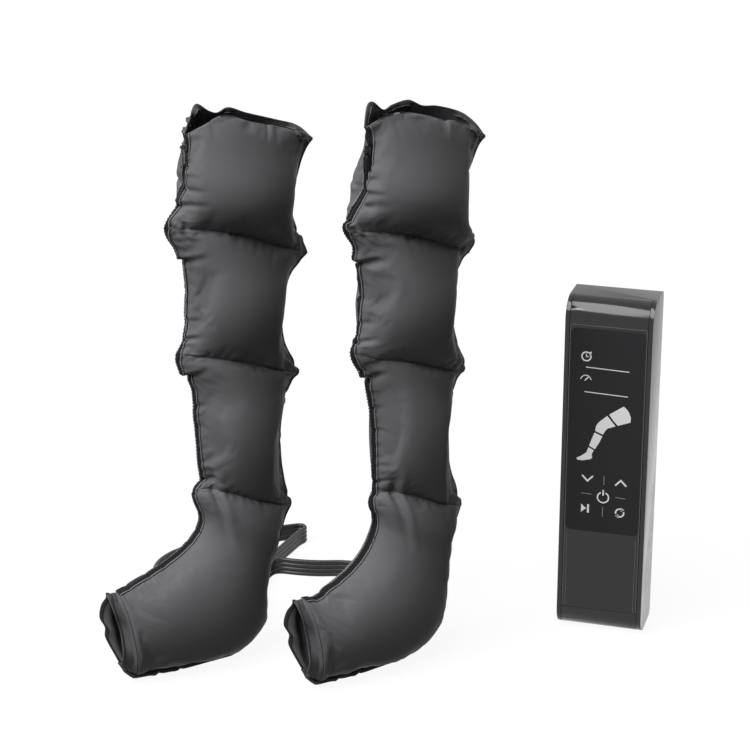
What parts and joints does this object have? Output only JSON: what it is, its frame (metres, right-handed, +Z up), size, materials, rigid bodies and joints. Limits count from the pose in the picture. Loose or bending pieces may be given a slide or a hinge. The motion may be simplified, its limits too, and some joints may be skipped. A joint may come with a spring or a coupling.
{
  "type": "compression therapy kit",
  "caption": "Upright air pump unit with a flat touch panel, inflated open-toe leg sleeves of stacked chambers, and flat ribbon hoses that join them.",
  "frame": {"origin": "centre of the pump unit's footprint, on the surface that it stands on (the underside of its rubber base pad)", "axes": "+Z up, the pump's touch panel faces -Y, +X to the right of a person who reads the panel"},
  "size_m": [0.7707, 0.5815, 0.8029],
  "materials": {
    "case_gloss": "piano-gloss black moulded ABS",
    "face_gloss": "high-gloss smoke acrylic, printed black behind",
    "label_matte": "matt printed polyester overlay with white icons",
    "foot_rubber": "matt moulded rubber",
    "bright_steel": "bright turned steel",
    "board_green": "green solder mask",
    "display_dark": "dark display glass",
    "component_black": "matt moulded component plastic",
    "pump_plastic": "natural nylon moulding",
    "soft_rubber": "translucent silicone rubber",
    "motor_steel": "zinc-plated steel can",
    "sleeve_nylon": "charcoal coated nylon with a soft satin sheen",
    "binding_fabric": "black folded nylon edge binding",
    "sole_fabric": "black coated fabric sole",
    "zip_tape": "black woven zipper tape",
    "zip_metal": "black painted zinc slider",
    "hose_rubber": "black flexible PVC, satin",
    "connector_plastic": "black moulded plastic, satin"
  },
  "bodies": {
    "kit": {"base_pad": "foot_rubber", "buzzer": "component_black", "crank_cup": "pump_plastic", "diaphragm": "soft_rubber", "display_module": "display_dark", "face_plate": "face_gloss", "feed_tube": "soft_rubber", "front_cover": "case_gloss", "housing_screws": "bright_steel", "left_calf_chamber": "sleeve_nylon", "left_connector": "connector_plastic", "left_cuff": "binding_fabric", "left_foot_chamber": "sleeve_nylon", "left_hose": "hose_rubber", "left_hose_coil": "hose_rubber", "left_hose_gland": "connector_plastic", "left_knee_chamber": "sleeve_nylon", "left_sole": "sole_fabric", "left_thigh_chamber": "sleeve_nylon", "left_toe_binding": "binding_fabric", "left_zipper_tape": "zip_tape", "main_board": "board_green", "motor_cradle": "pump_plastic", "motor_damper": "foot_rubber", "motor_strap": "component_black", "outlet_block": "pump_plastic", "power_jack": "component_black", "pressure_sensors": "component_black", "pump_head": "pump_plastic", "pump_motor": "motor_steel", "rear_housing": "case_gloss", "right_calf_chamber": "sleeve_nylon", "right_connector": "connector_plastic", "right_cuff": "binding_fabric", "right_foot_chamber": "sleeve_nylon", "right_hose": "hose_rubber", "right_hose_coil": "hose_rubber", "right_hose_gland": "connector_plastic", "right_knee_chamber": "sleeve_nylon", "right_sole": "sole_fabric", "right_thigh_chamber": "sleeve_nylon", "right_toe_binding": "binding_fabric", "right_zipper_tape": "zip_tape", "riser_tubes": "soft_rubber", "solenoid_coils": "motor_steel", "touch_board": "board_green", "touch_label": "label_matte", "valve_block": "pump_plastic", "wobble_plate": "pump_plastic"},
    "crank_body": {"crank": "bright_steel"},
    "plunger_1": {"valve_plunger_1": "bright_steel"},
    "plunger_2": {"valve_plunger_2": "bright_steel"},
    "plunger_3": {"valve_plunger_3": "bright_steel"},
    "plunger_4": {"valve_plunger_4": "bright_steel"},
    "left_slider": {"left_zipper_slider": "zip_metal"},
    "left_pull": {"left_zipper_pull": "zip_metal"},
    "right_slider": {"right_zipper_slider": "zip_metal"},
    "right_pull": {"right_zipper_pull": "zip_metal"}
  },
  "joints": [
    {"name": "crank_spin", "type": "hinge", "parent": "kit", "child": "crank_body", "pos_m": [0, -0.001, 0.086], "axis": [0, 0, 1], "continuous": true},
    {"name": "valve_lift_1", "type": "slide", "parent": "kit", "child": "plunger_1", "axis": [0, 0, 1], "range_m": [0, 0.002], "stiffness_N_per_m": 300, "springref_m": -0.002},
    {"name": "valve_lift_2", "type": "slide", "parent": "kit", "child": "plunger_2", "axis": [0, 0, 1], "range_m": [0, 0.002], "stiffness_N_per_m": 300, "springref_m": -0.002},
    {"name": "valve_lift_3", "type": "slide", "parent": "kit", "child": "plunger_3", "axis": [0, 0, 1], "range_m": [0, 0.002], "stiffness_N_per_m": 300, "springref_m": -0.002},
    {"name": "valve_lift_4", "type": "slide", "parent": "kit", "child": "plunger_4", "axis": [0, 0, 1], "range_m": [0, 0.002], "stiffness_N_per_m": 300, "springref_m": -0.002},
    {"name": "left_zipper_slide", "type": "slide", "parent": "kit", "child": "left_slider", "axis": [-0.0164, -0.0184, -0.9997], "range_m": [0, 0.018]},
    {"name": "left_pull_swing", "type": "hinge", "parent": "left_slider", "child": "left_pull", "pos_m": [-0.53982, -0.3075, 0.77321], "axis": [-0.7466, 0.6652, 0], "range_deg": [0, 160]},
    {"name": "right_zipper_slide", "type": "slide", "parent": "kit", "child": "right_slider", "axis": [-0.0008, -0.0011, -1], "range_m": [0, 0.018]},
    {"name": "right_pull_swing", "type": "hinge", "parent": "right_slider", "child": "right_pull", "pos_m": [-0.29799, -0.25744, 0.77301], "axis": [-0.8018, 0.5976, 0], "range_deg": [0, 160]}
  ]
}
